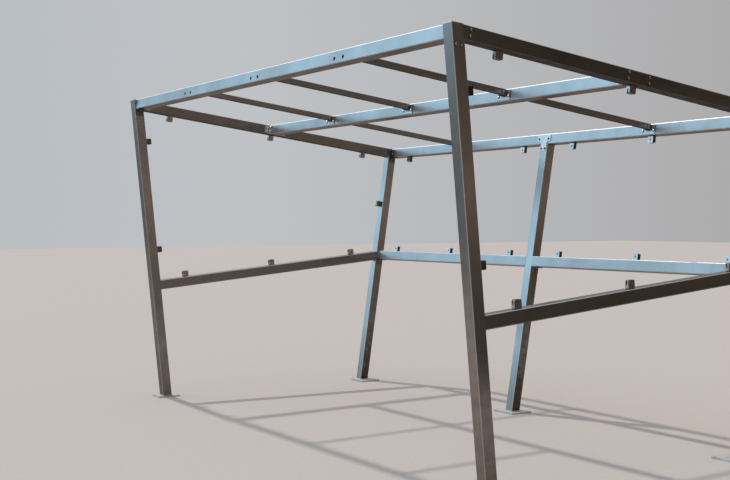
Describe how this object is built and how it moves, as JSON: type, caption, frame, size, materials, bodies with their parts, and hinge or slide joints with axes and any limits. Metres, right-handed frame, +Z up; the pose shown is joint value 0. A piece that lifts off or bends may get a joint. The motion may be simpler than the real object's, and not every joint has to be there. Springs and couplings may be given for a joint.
{
  "type": "bus shelter frame",
  "caption": "Open bus shelter frame of square metal tube with leaning posts, a roof grid that falls to the back, mid rails, empty glass clamps and bolted base plates.",
  "frame": {"origin": "on the floor, under the centre of the bounding box", "axes": "+X along the long back, +Y from the open front toward the back, +Z up"},
  "size_m": [4.7, 2.6686, 2.535],
  "materials": {
    "frame_tube": "satin mill finish, weathered",
    "plate_metal": "dull, scuffed by feet and rain",
    "bracket_metal": "satin, grey bloom",
    "clamp_metal": "satin cast block, grime in the slot"
  },
  "bodies": {
    "root": {"front_post_left": "frame_tube", "front_post_right": "frame_tube", "back_post_left": "frame_tube", "back_post_middle": "frame_tube", "back_post_right": "frame_tube", "base_plate_front_left": "plate_metal", "base_plate_front_right": "plate_metal", "base_plate_back_left": "plate_metal", "base_plate_back_middle": "plate_metal", "base_plate_back_right": "plate_metal", "front_beam": "frame_tube", "middle_beam": "frame_tube", "back_beam": "frame_tube", "end_beam_left": "frame_tube", "end_beam_right": "frame_tube", "end_rail_left": "frame_tube", "end_rail_right": "frame_tube", "back_rail_left": "frame_tube", "back_rail_right": "frame_tube", "front_purlin_left": "frame_tube", "front_purlin_middle": "frame_tube", "front_purlin_right": "frame_tube", "back_purlin_left": "frame_tube", "back_purlin_right": "frame_tube", "front_beam_shelves": "bracket_metal", "back_beam_shelves": "bracket_metal", "back_rail_shelves": "bracket_metal", "front_beam_cleats": "bracket_metal", "middle_beam_cleats": "bracket_metal", "back_beam_cleats": "bracket_metal", "joint_plate": "bracket_metal", "front_beam_shoes": "bracket_metal", "middle_beam_front_shoes": "bracket_metal", "middle_beam_back_shoes": "bracket_metal", "back_beam_shoes": "bracket_metal", "end_beam_clamps_left": "clamp_metal", "end_beam_clamps_right": "clamp_metal", "end_rail_clamps_left": "clamp_metal", "end_rail_clamps_right": "clamp_metal", "back_beam_clamps_left": "clamp_metal", "back_beam_clamps_right": "clamp_metal", "back_rail_clamps_left": "clamp_metal", "back_rail_clamps_right": "clamp_metal", "post_clamps_left": "clamp_metal", "post_clamps_right": "clamp_metal"}
  },
  "joints": []
}
